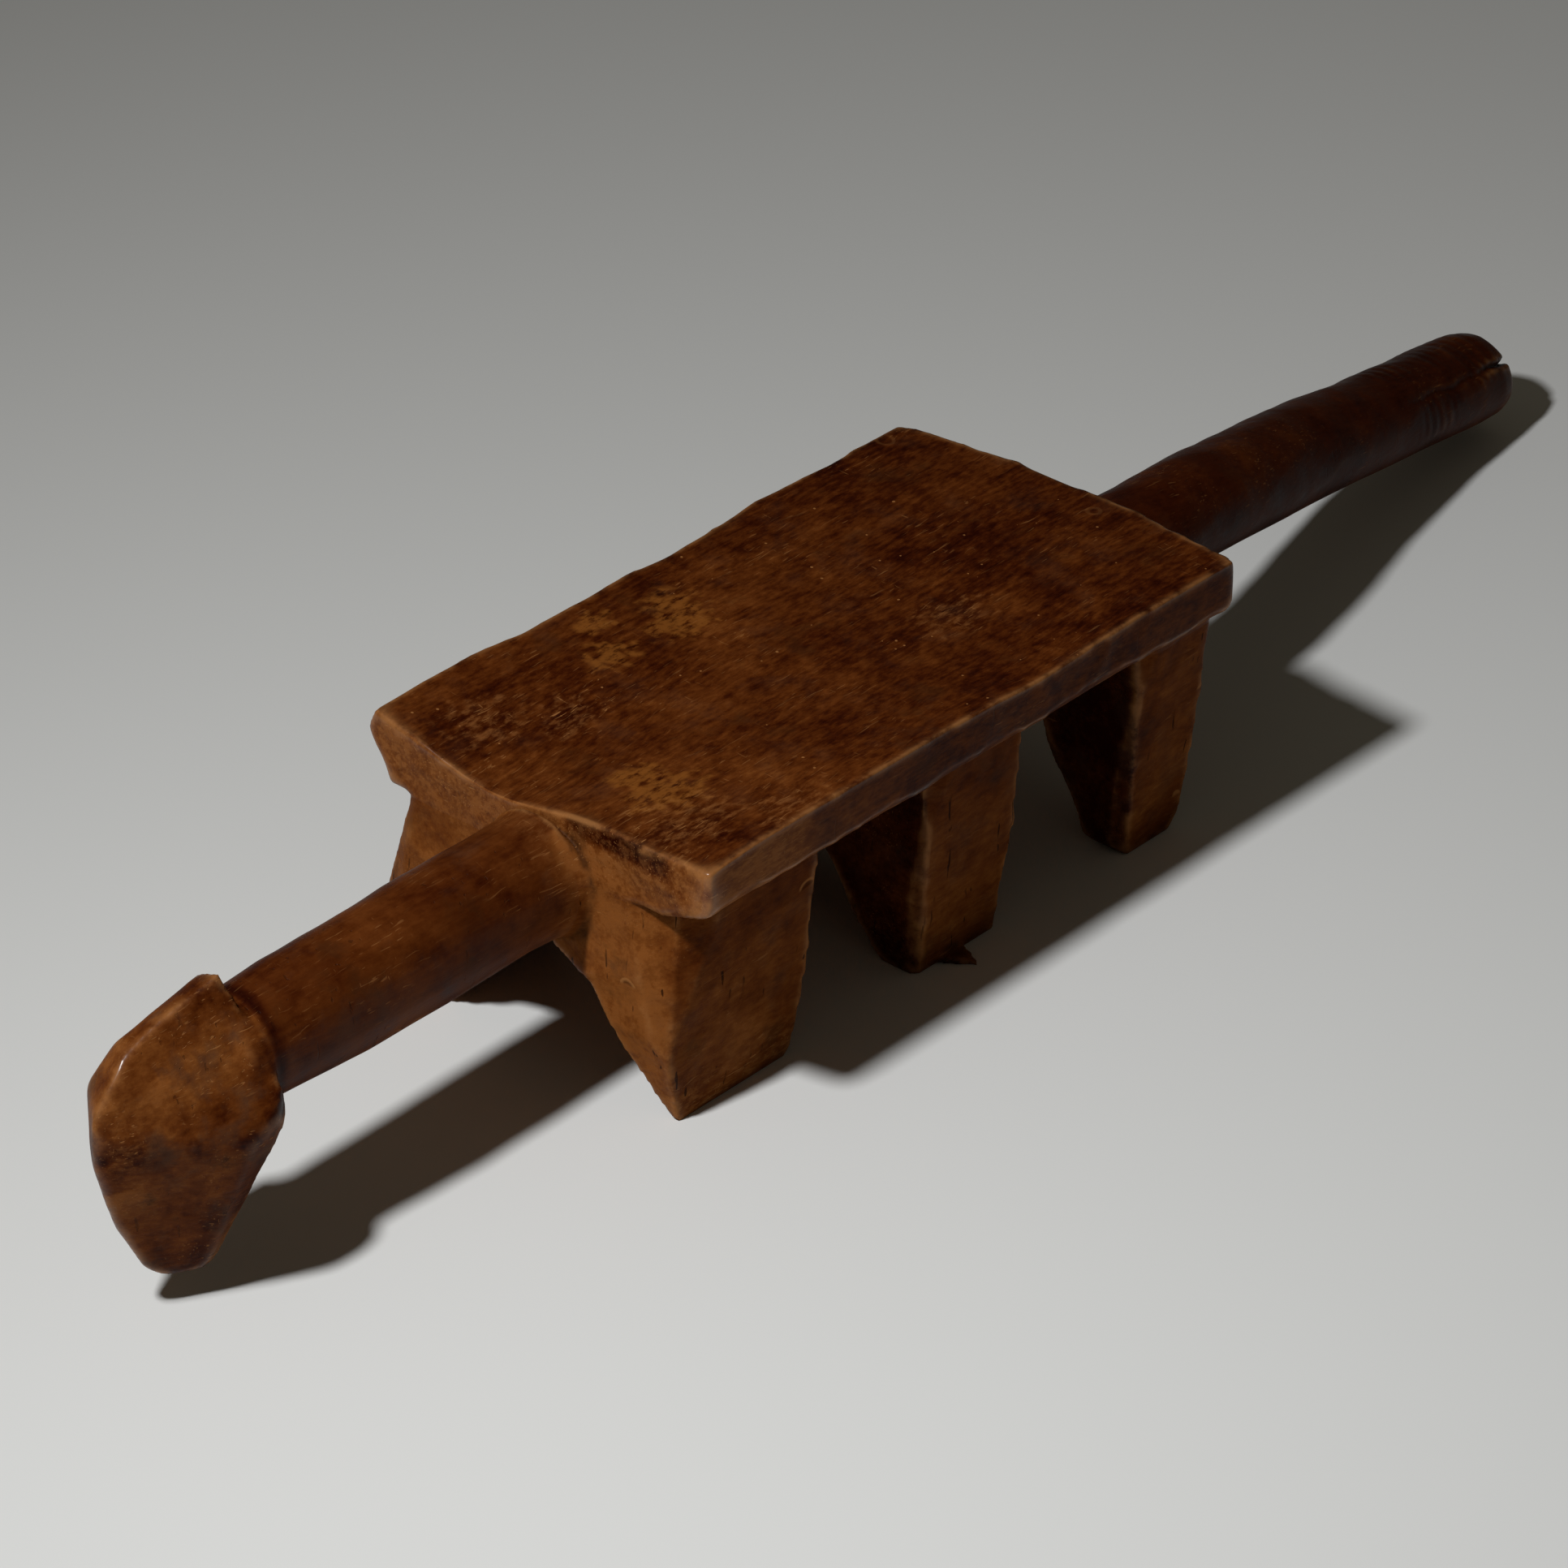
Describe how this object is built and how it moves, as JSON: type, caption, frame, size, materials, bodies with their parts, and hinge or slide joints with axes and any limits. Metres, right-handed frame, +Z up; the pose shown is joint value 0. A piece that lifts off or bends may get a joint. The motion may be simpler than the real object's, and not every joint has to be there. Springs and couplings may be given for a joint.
{
  "type": "animal-form stool",
  "caption": "Low carved stool in animal form: dished seat slab on pairs of wedge legs, round neck with a down-turned faceted head, long drooping tail.",
  "frame": {"origin": "centre of the bounding box on the floor that the feet stand on", "axes": "+Y from head to tail, +Z up, +X to the right as seen from in front of the head, which is what right and left in the node names mean"},
  "size_m": [0.204, 1.0314, 0.149],
  "materials": {
    "seat_wood": "deep brown oiled patina, rubbed by use, satin",
    "leg_wood": "adze-cut brown wood, matte to satin",
    "neck_wood": "handled reddish brown wood, glossy",
    "head_wood": "faceted brown wood, semi-gloss with dark blotches",
    "tail_wood": "dark red-brown wood, handled and glossy"
  },
  "bodies": {
    "root": {"seat": "seat_wood", "neck": "neck_wood", "head": "head_wood", "tail": "tail_wood", "leg_front_right": "leg_wood", "leg_front_left": "leg_wood", "leg_middle_right": "leg_wood", "leg_middle_left": "leg_wood", "leg_rear_right": "leg_wood", "leg_rear_left": "leg_wood"}
  },
  "joints": []
}
